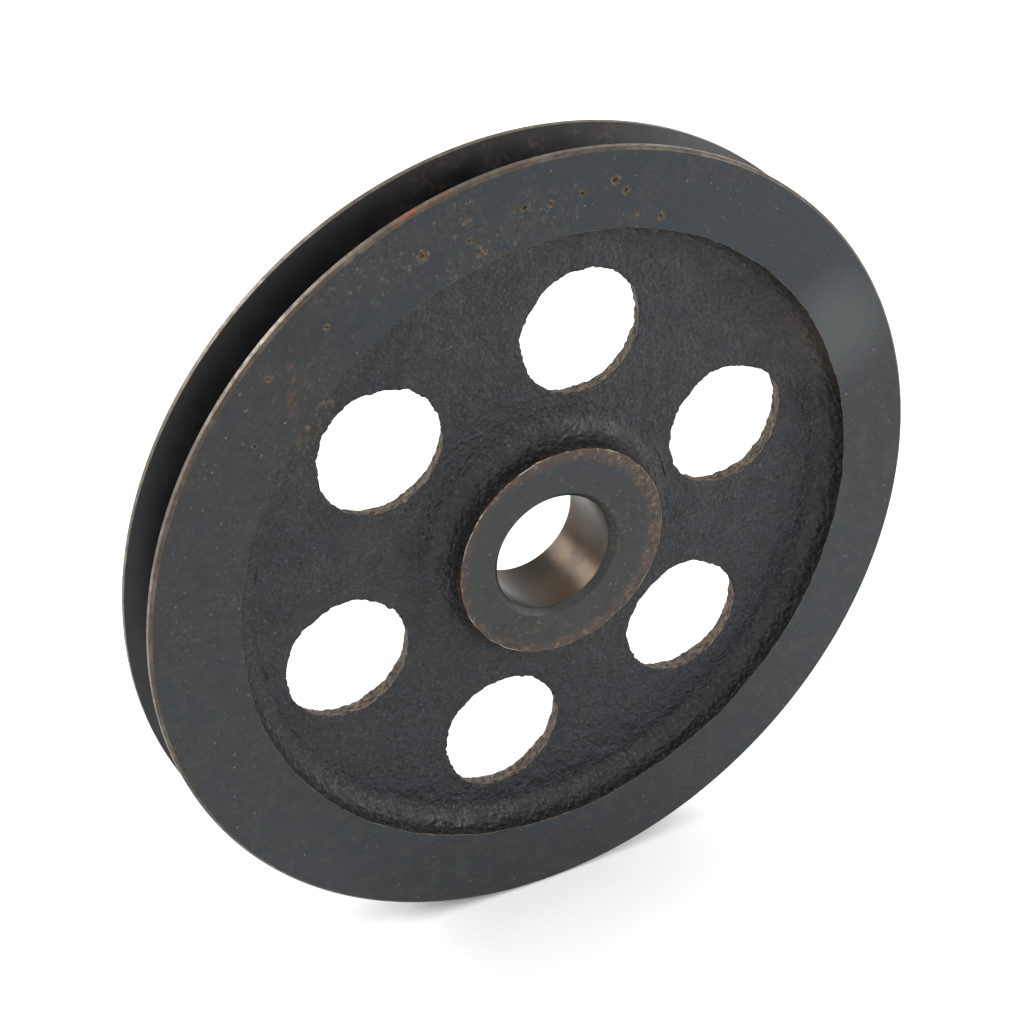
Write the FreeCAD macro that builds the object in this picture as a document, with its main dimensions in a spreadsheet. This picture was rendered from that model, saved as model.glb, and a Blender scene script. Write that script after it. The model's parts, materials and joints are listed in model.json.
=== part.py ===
# Single-groove V-belt pulley, the driving wheel of a pottery wheel's belt drive.
#
# The real pulley is one grey-iron casting, turned on a lathe where it has to run true. It is
# modelled here as one parametric casting, which two plain cylinders then part into the three
# zones of a wheel: hub, web and rim. The zones meet face to face and together are the casting.
#
# Frame: millimetres. The origin is on the bore axis, half way across the belt groove. The axis
# is +Y, the front of the wheel faces -Y, and +Z is up.

import FreeCAD, Part
import math
import os
import Sketcher

from FreeCAD import Placement, Rotation, Vector

doc = FreeCAD.newDocument("belt_pulley")


# ---------------------------------------------------------------- driving dimensions

SIZES = [
    # name, value in mm or degrees, what it is
    ("outer_diameter", 200.0, "over the lands of the rim"),
    ("land_width", 2.0, "rim left on each side of the belt groove, at the outer diameter"),
    ("rim_depth", 19.5, "from the outer diameter in to the recess wall, at the rim face"),
    ("rim_edge_chamfer", 0.6, "on the outer edge of each rim face"),
    ("groove_width", 13.6, "belt groove across its mouth, A section"),
    ("groove_depth", 12.0, "belt groove from the outer diameter down"),
    ("groove_angle", 38.0, "included angle between the two flanks of the groove"),
    ("recess_draft", 8.0, "slope of the as-cast recess wall"),
    ("recess_fillet", 5.5, "between recess wall and web"),
    ("web_thickness", 4.8, "as-cast web"),
    ("hole_count", 6, "lightening holes, cast in"),
    ("hole_diameter", 31.0, "lightening hole at the front of the web"),
    ("hole_draft", 17.0, "each lightening hole opens out to the back by this slope"),
    ("first_hole_angle", 19.0, "from +X towards +Z"),
    ("hub_diameter", 54.0, "as-cast hub at its machined ends"),
    ("hub_draft", 5.0, "slope of the as-cast hub wall"),
    ("hub_fillet", 6.0, "between hub wall and web"),
    ("hub_front_step", 1.5, "hub end in front of the rim face"),
    ("hub_back_step", 2.4, "hub end behind the rim face"),
    ("bore_diameter", 30.0, "plain shaft bore"),
    ("bore_chamfer", 1.45, "at both ends of the bore, 45 degrees"),
    ("mould_shift_side", 1.8, "front half of the mould off the machined axis, along +X"),
    ("mould_shift_up", 0.4, "front half of the mould off the machined axis, along +Z"),
    ("seam_margin", 1.0, "least web between a lightening hole and where the casting is parted"),
]

sizes = doc.addObject("Spreadsheet::Sheet", "sizes")
for row, (name, value, meaning) in enumerate(SIZES, start=1):
    sizes.set(f"A{row}", name)
    sizes.set(f"B{row}", str(value))
    sizes.set(f"C{row}", meaning)
    sizes.setAlias(f"B{row}", name)
doc.recompute()

# Lengths that follow from the driving dimensions, each an expression of names in braces.
DERIVED = {
    "outer_radius": "{outer_diameter} / 2",
    "rim_width": "{groove_width} + 2 * {land_width}",
    "half_rim": "{rim_width} / 2",
    "half_web": "{web_thickness} / 2",
    "recess_radius": "{outer_radius} - {rim_depth}",
    "recess_depth": "{half_rim} - {half_web}",
    "hub_radius": "{hub_diameter} / 2",
    "hub_front": "{half_rim} + {hub_front_step}",
    "hub_back": "{half_rim} + {hub_back_step}",
    "hub_length": "{hub_front} + {hub_back}",
    "bore_radius": "{bore_diameter} / 2",
    # Each drafted wall meets the web in a root circle.
    "hub_slope": "tan({hub_draft} * 1deg)",
    "hub_front_root": "{hub_radius} + ({hub_front} - {half_web}) * {hub_slope}",
    "hub_back_root": "{hub_radius} + ({hub_back} - {half_web}) * {hub_slope}",
    "recess_root": "{recess_radius} - {recess_depth} * tan({recess_draft} * 1deg)",
    # The lightening holes lie half way between the hub and the recess wall. Each is cut from
    # rim face to rim face, so that it clears the fillets, and is drawn on the front rim face.
    "hole_circle_radius": "({hub_radius} + {recess_radius}) / 2",
    "hole_slope": "tan({hole_draft} * 1deg)",
    "hole_start_radius": "{hole_diameter} / 2 - {recess_depth} * {hole_slope}",
    "hole_back_radius": "{hole_diameter} / 2 + {web_thickness} * {hole_slope}",
    "hole_side": "{hole_circle_radius} * cos({first_hole_angle} * 1deg)",
    "hole_up": "{hole_circle_radius} * sin({first_hole_angle} * 1deg)",
    # A fillet is never taller than the wall it runs along.
    "hub_fillet_fitted": "min({hub_fillet}; 0.9 * ({recess_depth} + {hub_front_step}))",
    "recess_fillet_fitted": "min({recess_fillet}; 0.9 * {recess_depth})",
    # The belt groove is drawn past the rim, so that it cuts clean.
    "groove_floor_radius": "{outer_radius} - {groove_depth}",
    "groove_slope": "tan({groove_angle} / 2 * 1deg)",
    "groove_floor_half": "{groove_width} / 2 - {groove_depth} * {groove_slope}",
    "groove_overrun": "{groove_depth} / 6",
    "groove_mouth_radius": "{outer_radius} + {groove_overrun}",
    "groove_mouth_half": "{groove_width} / 2 + {groove_overrun} * {groove_slope}",
    # The casting is parted where its fillets have ended, but never through a lightening hole.
    "mould_shift_reach": "{mould_shift_side} + {mould_shift_up}",
    "hub_fillet_end": "{hub_radius} + {hub_fillet} + {mould_shift_reach}",
    "recess_fillet_end": "{recess_radius} - {recess_fillet} - {mould_shift_reach}",
    "hole_inside": "{hole_circle_radius} - {hole_back_radius} - {seam_margin}",
    "hole_outside": "{hole_circle_radius} + {hole_back_radius} + {seam_margin}",
    "hub_seam_radius": "min({hub_fillet_end}; {hole_inside})",
    "rim_seam_radius": "max({recess_fillet_end}; {hole_outside})",
    "parting_length": "2 * {hub_length}",
}


# ---------------------------------------------------------------- helpers

def expand(expression):
    """Write out the derived names in an expression, down to references to the sheet's cells."""
    for name, meaning in reversed(DERIVED.items()):
        expression = expression.replace("{" + name + "}", f"({meaning})")
    for name, _, _ in SIZES:
        expression = expression.replace("{" + name + "}", f"<<sizes>>.{name}")
    return expression


def size(expression):
    """The number that an expression on the sheet comes to, to find edges by."""
    return float(sizes.evalExpression(expand(expression)))


def bind(feature, **expressions):
    """Tie properties of a feature to the sheet."""
    for name, expression in expressions.items():
        feature.setExpression(name, expand(expression))


def add_feature(body, kind, name, **settings):
    """A new PartDesign feature in a body, with its plain settings."""
    feature = body.newObject(f"PartDesign::{kind}", name)
    for key, setting in settings.items():
        setattr(feature, key, setting)
    return feature


def add_sketch(body, name, role, offset="0"):
    """A sketch on one of its body's own origin planes, moved along the plane's normal."""
    sketch = body.newObject("Sketcher::SketchObject", name)
    plane = next(each for each in body.Origin.OriginFeatures if each.Role == role)
    sketch.AttachmentSupport = [(plane, "")]
    sketch.MapMode = "FlatFace"
    sketch.setExpression(".AttachmentOffset.Base.z", expand(offset))
    return sketch


def constrain(sketch, name, expression, kind, *arguments):
    """A named dimension in a sketch, tied to the sheet."""
    index = sketch.addConstraint(Sketcher.Constraint(kind, *arguments, size(expression)))
    sketch.renameConstraint(index, name)
    sketch.setExpression(f"Constraints.{name}", expand(expression))


def add_circle(sketch, radius, side="0", up="0"):
    """A circle in a sketch, its centre given along the sketch's own two axes."""
    centre = Vector(size(side), size(up), 0)
    circle = sketch.addGeometry(Part.Circle(centre, Vector(0, 0, 1), size(radius)), False)
    constrain(sketch, "radius", radius, "Radius", circle)
    constrain(sketch, "side", side, "DistanceX", -1, 1, circle, 3)
    constrain(sketch, "up", up, "DistanceY", -1, 1, circle, 3)


def add_outline(sketch, corners):
    """A closed outline of straight lines through corners given as pairs of expressions."""
    points = [Vector(size(across), size(along), 0) for across, along in corners]
    lines = [
        sketch.addGeometry(Part.LineSegment(start, end), False)
        for start, end in zip(points, points[1:] + points[:1])
    ]
    for line, following in zip(lines, lines[1:] + lines[:1]):
        sketch.addConstraint(Sketcher.Constraint("Coincident", line, 2, following, 1))
    for number, (line, (across, along)) in enumerate(zip(lines, corners), start=1):
        constrain(sketch, f"across_{number}", across, "DistanceX", -1, 1, line, 1)
        constrain(sketch, f"along_{number}", along, "DistanceY", -1, 1, line, 1)


def round_edges(feature, *places):
    """A feature with the names of its round edges at these places, each a radius and a Y."""
    names = []
    for place in places:
        radius, height = map(size, place)
        found = [
            f"Edge{index}"
            for index, edge in enumerate(feature.Shape.Edges, start=1)
            if isinstance(edge.Curve, Part.Circle)
            and math.isclose(edge.Curve.Radius, radius, abs_tol=0.01)
            and math.isclose(edge.Curve.Center.y, height, abs_tol=0.01)
        ]
        if len(found) != 1:
            raise RuntimeError(f"{feature.Label}: {len(found)} edges at {place}, not one")
        names += found
    return feature, names


# ---------------------------------------------------------------- the casting, before turning

casting = doc.addObject("PartDesign::Body", "casting")

# The XZ plane's normal points to the front, along -Y, so an offset is a distance to the front.
blank_sketch = add_sketch(casting, "blank_sketch", "XZ_Plane")
add_circle(blank_sketch, "{outer_radius}")
blank = add_feature(casting, "Pad", "blank", Profile=blank_sketch, Midplane=True)
bind(blank, Length="{rim_width}")

# The front of the mould sits a little off the back of it, which the lathe gripped. So the
# front recess and the front of the hub are off the axis, and everything else is true to it.
MOULD_SHIFT = {"side": "{mould_shift_side}", "up": "{mould_shift_up}"}

front_recess_sketch = add_sketch(casting, "front_recess_sketch", "XZ_Plane", "{half_rim}")
add_circle(front_recess_sketch, "{recess_radius}", **MOULD_SHIFT)
front_recess = add_feature(casting, "Pocket", "front_recess", Profile=front_recess_sketch)
bind(front_recess, Length="{recess_depth}", TaperAngle="-{recess_draft}")

back_recess_sketch = add_sketch(casting, "back_recess_sketch", "XZ_Plane", "-{half_rim}")
add_circle(back_recess_sketch, "{recess_radius}")
back_recess = add_feature(
    casting, "Pocket", "back_recess", Profile=back_recess_sketch, Reversed=True
)
bind(back_recess, Length="{recess_depth}", TaperAngle="-{recess_draft}")

# Each half of the hub is drawn at its end face and widens by its draft down to the web.
front_hub_sketch = add_sketch(casting, "front_hub_sketch", "XZ_Plane", "{hub_front}")
add_circle(front_hub_sketch, "{hub_radius}", **MOULD_SHIFT)
front_hub = add_feature(casting, "Pad", "front_hub", Profile=front_hub_sketch, Reversed=True)
bind(front_hub, Length="{hub_front}", TaperAngle="{hub_draft}")

back_hub_sketch = add_sketch(casting, "back_hub_sketch", "XZ_Plane", "-{hub_back}")
add_circle(back_hub_sketch, "{hub_radius}")
back_hub = add_feature(casting, "Pad", "back_hub", Profile=back_hub_sketch)
bind(back_hub, Length="{hub_back}", TaperAngle="{hub_draft}")

doc.recompute()

hub_roots = round_edges(
    back_hub, ("{hub_front_root}", "-{half_web}"), ("{hub_back_root}", "{half_web}")
)
hub_fillets = add_feature(casting, "Fillet", "hub_fillets", Base=hub_roots)
bind(hub_fillets, Radius="{hub_fillet_fitted}")
doc.recompute()

recess_roots = round_edges(
    hub_fillets, ("{recess_root}", "-{half_web}"), ("{recess_root}", "{half_web}")
)
recess_fillets = add_feature(casting, "Fillet", "recess_fillets", Base=recess_roots)
bind(recess_fillets, Radius="{recess_fillet_fitted}")

# One tapered lightening hole, repeated round the axis.
hole_sketch = add_sketch(casting, "hole_sketch", "XZ_Plane", "{half_rim}")
add_circle(hole_sketch, "{hole_start_radius}", side="{hole_side}", up="{hole_up}")
first_hole = add_feature(casting, "Pocket", "first_hole", Profile=hole_sketch)
bind(first_hole, Length="{rim_width}", TaperAngle="{hole_draft}")

lightening_holes = add_feature(
    casting, "PolarPattern", "lightening_holes", Axis=(hole_sketch, ["N_Axis"]), Angle=360
)
lightening_holes.Originals = [first_hole]
bind(lightening_holes, Occurrences="{hole_count}")
casting.Tip = lightening_holes


# ---------------------------------------------------------------- turned on the lathe

# The belt groove has a flat floor and two straight flanks.
groove_sketch = add_sketch(casting, "groove_sketch", "XY_Plane")
add_outline(
    groove_sketch,
    [
        ("{groove_floor_radius}", "-{groove_floor_half}"),
        ("{groove_mouth_radius}", "-{groove_mouth_half}"),
        ("{groove_mouth_radius}", "{groove_mouth_half}"),
        ("{groove_floor_radius}", "{groove_floor_half}"),
    ],
)
belt_groove = add_feature(
    casting,
    "Groove",
    "belt_groove",
    Profile=groove_sketch,
    ReferenceAxis=(groove_sketch, ["V_Axis"]),
    Angle=360,
)

# The bore, cut from the front end of the hub to the back one.
bore_sketch = add_sketch(casting, "bore_sketch", "XZ_Plane", "{hub_front}")
add_circle(bore_sketch, "{bore_radius}")
bore = add_feature(casting, "Pocket", "bore", Profile=bore_sketch)
bind(bore, Length="{hub_length}")
doc.recompute()

bore_mouths = round_edges(
    bore, ("{bore_radius}", "-{hub_front}"), ("{bore_radius}", "{hub_back}")
)
bore_chamfers = add_feature(casting, "Chamfer", "bore_chamfers", Base=bore_mouths)
bind(bore_chamfers, Size="{bore_chamfer}")
doc.recompute()

rim_corners = round_edges(
    bore_chamfers, ("{outer_radius}", "-{half_rim}"), ("{outer_radius}", "{half_rim}")
)
rim_chamfers = add_feature(casting, "Chamfer", "rim_chamfers", Base=rim_corners)
bind(rim_chamfers, Size="{rim_edge_chamfer}")
casting.Tip = rim_chamfers


# ---------------------------------------------------------------- the three zones

def add_parting_cylinder(name, radius):
    """A cylinder about the bore axis, longer than the hub, that parts the casting."""
    cylinder = doc.addObject("Part::Cylinder", name)
    bind(cylinder, Radius=radius, Height="{parting_length}")
    along_y = Rotation(Vector(1, 0, 0), -90)
    cylinder.Placement = Placement(Vector(0, -size("{parting_length}") / 2, 0), along_y)
    return cylinder


def add_boolean(kind, name, base, tool):
    """Part::Common or Part::Cut of two objects."""
    result = doc.addObject(f"Part::{kind}", name)
    result.Base = base
    result.Tool = tool
    return result


inside_hub_seam = add_parting_cylinder("inside_hub_seam", "{hub_seam_radius}")
inside_rim_seam = add_parting_cylinder("inside_rim_seam", "{rim_seam_radius}")
between_seams = add_boolean("Cut", "between_seams", inside_rim_seam, inside_hub_seam)

SUBPARTS = [
    add_boolean("Common", "hub", casting, inside_hub_seam),
    add_boolean("Common", "web", casting, between_seams),
    add_boolean("Cut", "rim", casting, inside_rim_seam),
]
doc.recompute()


# ---------------------------------------------------------------- checks and files

for each in doc.Objects:
    if {"Invalid", "Error"} & set(each.State):
        raise RuntimeError(f"{each.Label} did not recompute: {each.State}")

for subpart in SUBPARTS:
    shape = subpart.Shape
    if shape.isNull() or not shape.isValid() or len(shape.Solids) != 1:
        raise RuntimeError(f"{subpart.Label} is not one valid solid")

parted_volume = sum(subpart.Shape.Volume for subpart in SUBPARTS)
if not math.isclose(parted_volume, casting.Shape.Volume, rel_tol=1e-6):
    raise RuntimeError("the zones do not add up to the casting")

os.makedirs("parts", exist_ok=True)
for subpart in SUBPARTS:
    subpart.Shape.exportStep(f"parts/{subpart.Label}.step")
    box = subpart.Shape.BoundBox
    print(
        f"{subpart.Label:4} {subpart.Shape.Volume / 1000:8.2f} cm3, {len(subpart.Shape.Faces)} faces,"
        f" Y {box.YMin:.2f} to {box.YMax:.2f}, X {box.XMin:.2f} to {box.XMax:.2f}"
    )
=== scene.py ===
# %% [markdown]
# # A cast-iron V-belt pulley, turned on its working faces
#
# The pulley drives a pottery wheel. It is one grey-iron casting: a hub with a plain bore, a thin
# web with six cast holes, and a rim with one groove for a V-belt. A lathe has cut the rim faces,
# the lands, the groove, the hub ends and the bore. Everything else is the skin that the sand of
# the mould left. The whole thing was blackened and oiled, and has since rusted here and there.
#
# The lesson follows the foundry and the machine shop. Each zone of the casting is first made with
# its rough skin a little too tall, and is then cut flat where the lathe cut it, so that the ragged
# line between skin and turned face comes about as it does on the real thing.

# %% Load the frame that the CAD model gives
import json
import math

import bmesh
import bpy
from mathutils import Matrix, Vector

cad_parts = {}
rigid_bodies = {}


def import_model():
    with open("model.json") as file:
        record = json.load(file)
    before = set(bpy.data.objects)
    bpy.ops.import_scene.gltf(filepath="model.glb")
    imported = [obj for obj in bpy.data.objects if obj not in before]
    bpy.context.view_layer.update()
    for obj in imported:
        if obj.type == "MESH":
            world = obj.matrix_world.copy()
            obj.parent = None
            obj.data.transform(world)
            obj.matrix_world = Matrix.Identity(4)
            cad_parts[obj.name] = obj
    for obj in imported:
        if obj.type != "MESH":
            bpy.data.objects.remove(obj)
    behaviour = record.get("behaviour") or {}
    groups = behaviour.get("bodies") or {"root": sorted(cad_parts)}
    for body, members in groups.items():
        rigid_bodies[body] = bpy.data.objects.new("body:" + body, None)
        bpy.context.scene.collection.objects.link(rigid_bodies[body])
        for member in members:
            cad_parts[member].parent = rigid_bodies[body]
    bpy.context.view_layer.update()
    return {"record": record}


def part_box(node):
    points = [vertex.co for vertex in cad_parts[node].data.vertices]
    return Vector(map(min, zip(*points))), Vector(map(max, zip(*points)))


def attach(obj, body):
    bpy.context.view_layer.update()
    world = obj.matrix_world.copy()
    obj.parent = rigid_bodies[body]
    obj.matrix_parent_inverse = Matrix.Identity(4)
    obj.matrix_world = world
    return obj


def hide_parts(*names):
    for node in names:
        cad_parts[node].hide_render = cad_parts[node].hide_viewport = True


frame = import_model()

# %% [markdown]
# The sizes come from the CAD frame wherever it can be asked: the boxes of the three zones and the
# bore of the record. The rest are the pulley's own smaller sizes, in millimetres.

# %% Sizes
MM = 0.001


def zone_sizes(node):
    """Outer radius, front Y and back Y of a zone, in millimetres."""
    low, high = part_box(node)
    return round(high[0] / MM, 2), round(low[1] / MM, 2), round(high[1] / MM, 2)


outer_radius, rim_front, rim_back = zone_sizes("rim")
rim_seam, web_front, web_back = zone_sizes("web")
hub_seam, hub_front, hub_back = zone_sizes("hub")
mounts = {mount["name"]: mount for mount in frame["record"]["mounts"]}
bore_radius = mounts["bore"]["dims"]["r_mm"]

groove_mouth, groove_depth, groove_angle = 13.6, 12.0, math.radians(38)
rim_chamfer, bore_chamfer = 0.6, 1.45
recess_radius, recess_fillet, recess_draft = 80.5, 5.5, math.radians(8)
hub_radius, hub_fillet, hub_draft = 27.0, 6.0, math.radians(5)
hole_radius, hole_draft, hole_count, first_hole = 15.5, math.radians(17), 6, math.radians(19)
hole_circle = (hub_radius + recess_radius) / 2
mould_shift = Vector((1.8, 0, 0.4))
print("rim", outer_radius, rim_front, rim_back, "web", rim_seam, web_front, web_back)
print("hub", hub_seam, hub_front, hub_back, "bore", bore_radius)

# %% [markdown]
# ## The camera comes first
#
# A long lens from about half a metre keeps the wheel's circles nearly true ellipses. It stands to
# the left of the wheel and looks down on it. The wheel is a little off the middle of the frame,
# so the camera is moved sideways in its own plane and not turned, which keeps the perspective.

# %% Camera
azimuth, elevation = math.radians(-28.42), math.radians(32.07)
distance, beside, above = 552.4 * MM, -5.53 * MM, 5.30 * MM

backwards = Vector((
    math.sin(azimuth) * math.cos(elevation),
    -math.cos(azimuth) * math.cos(elevation),
    math.sin(elevation),
))
rightwards = Vector((math.cos(azimuth), math.sin(azimuth), 0))
upwards = backwards.cross(rightwards)

bpy.ops.object.select_all(action="DESELECT")
bpy.ops.object.camera_add()
camera = bpy.context.object
camera.name = "product_camera"
camera.data.lens, camera.data.sensor_width = 82.0, 36.0
camera.data.clip_start = 10 * MM
turned = Matrix((rightwards, upwards, backwards)).transposed().to_4x4()
camera.matrix_world = Matrix.Translation(
    backwards * distance + rightwards * beside + upwards * above
) @ turned
bpy.context.scene.camera = camera
print("camera at", [round(value, 4) for value in camera.matrix_world.translation])

# %% [markdown]
# ## Floor and light
#
# The wheel stands on its rim on a pale table. Black iron is best lit by big soft lights: they give
# the satin faces a broad, even sheen and no hard spots. The one at the right makes the pale sheen
# on the rim, and the one behind lights the bore from inside.

# %% Floor
floor_height = -outer_radius * MM
bpy.ops.mesh.primitive_plane_add(size=6.0, location=(0, 0, floor_height))
floor = bpy.context.object
floor.name = "table"

# %% Lights
def add_softbox(name, place, target, width, height, watts):
    """An area light that points from a place at a target, both in metres."""
    bpy.ops.object.light_add(type="AREA", location=place)
    light = bpy.context.object
    light.name = name
    light.data.shape = "RECTANGLE"
    light.data.size, light.data.size_y = width, height
    light.data.energy = watts
    aim = Vector(target) - Vector(place)
    light.rotation_euler = aim.to_track_quat("-Z", "Y").to_euler()
    return light


add_softbox("softbox_above", (-0.3, -0.4, 1.1), (0, 0, 0), 0.9, 0.9, 1.7)
add_softbox("softbox_right", (0.9, -0.5, 0.3), (0.1, -0.1, -0.1), 0.4, 0.4, 5)
add_softbox("softbox_behind", (-0.62, 0.88, 0.5), (0, 0, 0), 0.55, 0.55, 8.5)

world = bpy.data.worlds.new("studio")
bpy.context.scene.world = world
world.use_nodes = True
world.node_tree.nodes["Background"].inputs["Color"].default_value = (1, 1, 1, 1)
world.node_tree.nodes["Background"].inputs["Strength"].default_value = 1.3
bpy.context.scene.view_settings.view_transform = "Standard"

# %% [markdown]
# ## Tools of the bench
#
# Nearly every surface here is turned or moulded round an axis. So a piece is drawn as half a
# section, one point after another, by extruding a single vertex, and the section is then spun.
# A section is a list of points, each a distance from the axis and a place along it, both in mm.
# Two points closer than the weld distance are taken as one.
#
# Two open rims are joined by a bridge. When both lie in one plane the bridge tool can't tell which
# way round each one runs, so one is lifted before the bridge, and all is flattened again after it.

# %% Bench tools: sections and spins
WELD = 0.01


def start_piece(name):
    """An empty mesh at the origin, open in edit mode."""
    bpy.ops.object.select_all(action="DESELECT")
    bpy.ops.mesh.primitive_plane_add(size=MM)
    piece = bpy.context.object
    piece.name = name
    piece.data.name = name
    bpy.ops.object.mode_set(mode="EDIT")
    bpy.ops.mesh.delete(type="VERT")
    return piece


def spin_section(points, steps, centre=Vector()):
    """Draws half a section and spins it about the Y line through a centre, in millimetres."""
    places = [(centre + Vector((radius, along, 0))) * MM for radius, along in points]
    bpy.ops.mesh.select_mode(type="VERT")
    bpy.ops.mesh.primitive_plane_add(size=MM, location=places[0])
    bpy.ops.mesh.merge(type="CENTER")
    for here, there in zip(places, places[1:]):
        bpy.ops.mesh.extrude_region_move(TRANSFORM_OT_translate={"value": there - here})
    bpy.ops.mesh.select_linked()
    bpy.ops.mesh.spin(steps=steps, angle=2 * math.pi, center=centre * MM, axis=(0, 1, 0))
    bpy.ops.mesh.select_linked()
    bpy.ops.mesh.remove_doubles(threshold=WELD * MM)


def arc(centre, radius, start, end, count):
    """Points along an arc in a section, its angles in radians from the outward direction."""
    angles = [start + (end - start) * step / (count - 1) for step in range(count)]
    return [
        (centre[0] + radius * math.cos(angle), centre[1] + radius * math.sin(angle))
        for angle in angles
    ]


def line(start, end, count):
    """Points along a straight stretch of a section, both ends included."""
    return [
        (
            start[0] + (end[0] - start[0]) * step / (count - 1),
            start[1] + (end[1] - start[1]) * step / (count - 1),
        )
        for step in range(count)
    ]

# %% Bench tools: places, open rims and bridges
def distance_from_axis(place, centre=Vector()):
    """How far a point in metres is from the Y line through a centre, in millimetres."""
    return math.hypot(place.x / MM - centre.x, place.z / MM - centre.z)


def at_angle(degrees, away, along=0.0):
    """A point this many degrees round the wheel and this far from the axis, in millimetres."""
    turn = math.radians(degrees)
    return Vector((away * math.cos(turn), along, away * math.sin(turn)))


def select_open_edges(test, extend=False):
    """Selects the edges on an open border whose ends both pass a test, and counts them."""
    bpy.ops.mesh.select_mode(type="EDGE")
    if not extend:
        bpy.ops.mesh.select_all(action="DESELECT")
    mesh = bmesh.from_edit_mesh(bpy.context.edit_object.data)
    found = [e for e in mesh.edges if e.is_boundary and all(test(v.co) for v in e.verts)]
    for edge in found:
        edge.select_set(True)
    bmesh.update_edit_mesh(bpy.context.edit_object.data)
    return len(found)


def near(value, target, slack=WELD):
    """Whether two measures are the same, within a slack."""
    return abs(value - target) < slack


def bridge_in_plane(plane, ring, cuts=0):
    """Joins the true ring of this radius to the other open rim in the same plane."""
    in_plane, lift = WELD / 10, 2 * MM

    def on_ring(co):
        return near(co.y / MM, plane, in_plane) and near(distance_from_axis(co), ring)

    def off_ring(co):
        return near(co.y / MM, plane, in_plane) and not near(distance_from_axis(co), ring)

    edges = select_open_edges(on_ring)
    bpy.ops.transform.translate(value=(0, lift, 0))
    edges += select_open_edges(off_ring, extend=True)
    bpy.ops.mesh.bridge_edge_loops(number_cuts=cuts, interpolation="LINEAR")
    bpy.ops.transform.resize(value=(1, 0, 1), center_override=(0, plane * MM, 0))
    print("  bridged", edges, "edges at", plane)

# %% [markdown]
# A casting's skin is lumpy because the sand it set against was. The Displace modifier moves each
# vertex along its normal by a noise, which is the quickest way to lumps that are real geometry.
# A vertex group keeps the seams between the zones where they are, so that the zones still meet.
# The edges where a flat turned face ends are marked sharp, or the shading of a pore beside it
# would bleed over the face.

# %% Rough skin
SQUARE_ON = 0.99999
TURNED_CREASE, ROUGH_CREASE = math.radians(35), math.radians(50)


def sand_noise(name, size):
    """A cloud noise with lumps of about this size in millimetres."""
    texture = bpy.data.textures.new(name, "CLOUDS")
    texture.noise_scale = size * MM
    texture.noise_depth = 1
    return texture


skin_noises = [
    (sand_noise("mould_unevenness", 9.0), 0.30),
    (sand_noise("sand_lumps", 2.6), 0.16),
    (sand_noise("sand_grains", 1.1), 0.08),
]


def roughen(piece, noises, held=None):
    """Applies each noise, at its height in millimetres, to all vertices but the held ones."""
    bpy.ops.object.mode_set(mode="OBJECT")
    free = piece.vertex_groups.new(name="free")
    loose = [v.index for v in piece.data.vertices if held is None or not held(v.co)]
    free.add(loose, 1.0, "REPLACE")
    for texture, height in noises:
        bpy.ops.object.modifier_add(type="DISPLACE")
        displace = piece.modifiers[-1]
        displace.texture = texture
        displace.texture_coords = "LOCAL"
        displace.strength = 2 * height * MM
        displace.mid_level = 0.5
        displace.vertex_group = "free"
        bpy.ops.object.modifier_apply(modifier=displace.name)
    piece.vertex_groups.clear()
    print("  roughened", len(loose), "of", len(piece.data.vertices), "vertices")
    bpy.ops.object.mode_set(mode="EDIT")


def turn_off(plane, direction):
    """Faces off everything beyond a plane across the axis, as the lathe does. In millimetres."""
    bpy.ops.mesh.select_all(action="SELECT")
    bpy.ops.mesh.bisect(
        plane_co=(0, plane * MM, 0), plane_no=(0, direction, 0), clear_outer=True,
        threshold=WELD / 100 * MM,
    )


def finish_piece(piece, crease):
    """Ends the bench work: normals out, shaded smooth up to a crease, flats kept flat."""
    bpy.ops.mesh.select_all(action="SELECT")
    bpy.ops.mesh.remove_doubles(threshold=WELD / 10 * MM)
    bpy.ops.mesh.normals_make_consistent(inside=False)
    bpy.ops.mesh.select_mode(type="EDGE")
    bpy.ops.mesh.select_all(action="DESELECT")
    mesh = bmesh.from_edit_mesh(piece.data)
    open_left = sum(edge.is_boundary for edge in mesh.edges)
    for edge in mesh.edges:
        flats = [abs(face.normal.y) > SQUARE_ON for face in edge.link_faces]
        edge.select_set(any(flats) and not all(flats))
    bmesh.update_edit_mesh(piece.data)
    bpy.ops.mesh.mark_sharp()
    bpy.ops.object.mode_set(mode="OBJECT")
    bpy.ops.object.transform_apply(location=True, rotation=True, scale=True)
    bpy.ops.object.shade_smooth_by_angle(angle=crease, keep_sharp_edges=True)
    bpy.ops.object.modifier_add(type="WEIGHTED_NORMAL")
    piece.modifiers[-1].keep_sharp = True
    bpy.ops.object.modifier_apply(modifier=piece.modifiers[-1].name)
    triangles = sum(len(polygon.vertices) - 2 for polygon in piece.data.polygons)
    print(piece.name, triangles, "triangles,", open_left, "open edges")

# %% [markdown]
# ## The rim
#
# The rim is the part that was turned most. Its recess walls are as cast: they lean outwards by
# eight degrees so that the pattern could be drawn from the sand, and end in a fillet on the web.
# The front half of the mould sat 1.8 mm off the back half, so the front recess is spun about an
# axis of its own, which is why the front face is broader on one side than on the other.
#
# The same section, turned inside out, gives the wall of the hub, so one function draws both.
# Both are drawn 2 mm too tall, for the lathe to take off.

# %% Rim, as cast
rim_steps, wall_points, fillet_points = 560, 8, 13
overtall = 2.0
RECESS, BOSS = 1, -1


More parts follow.
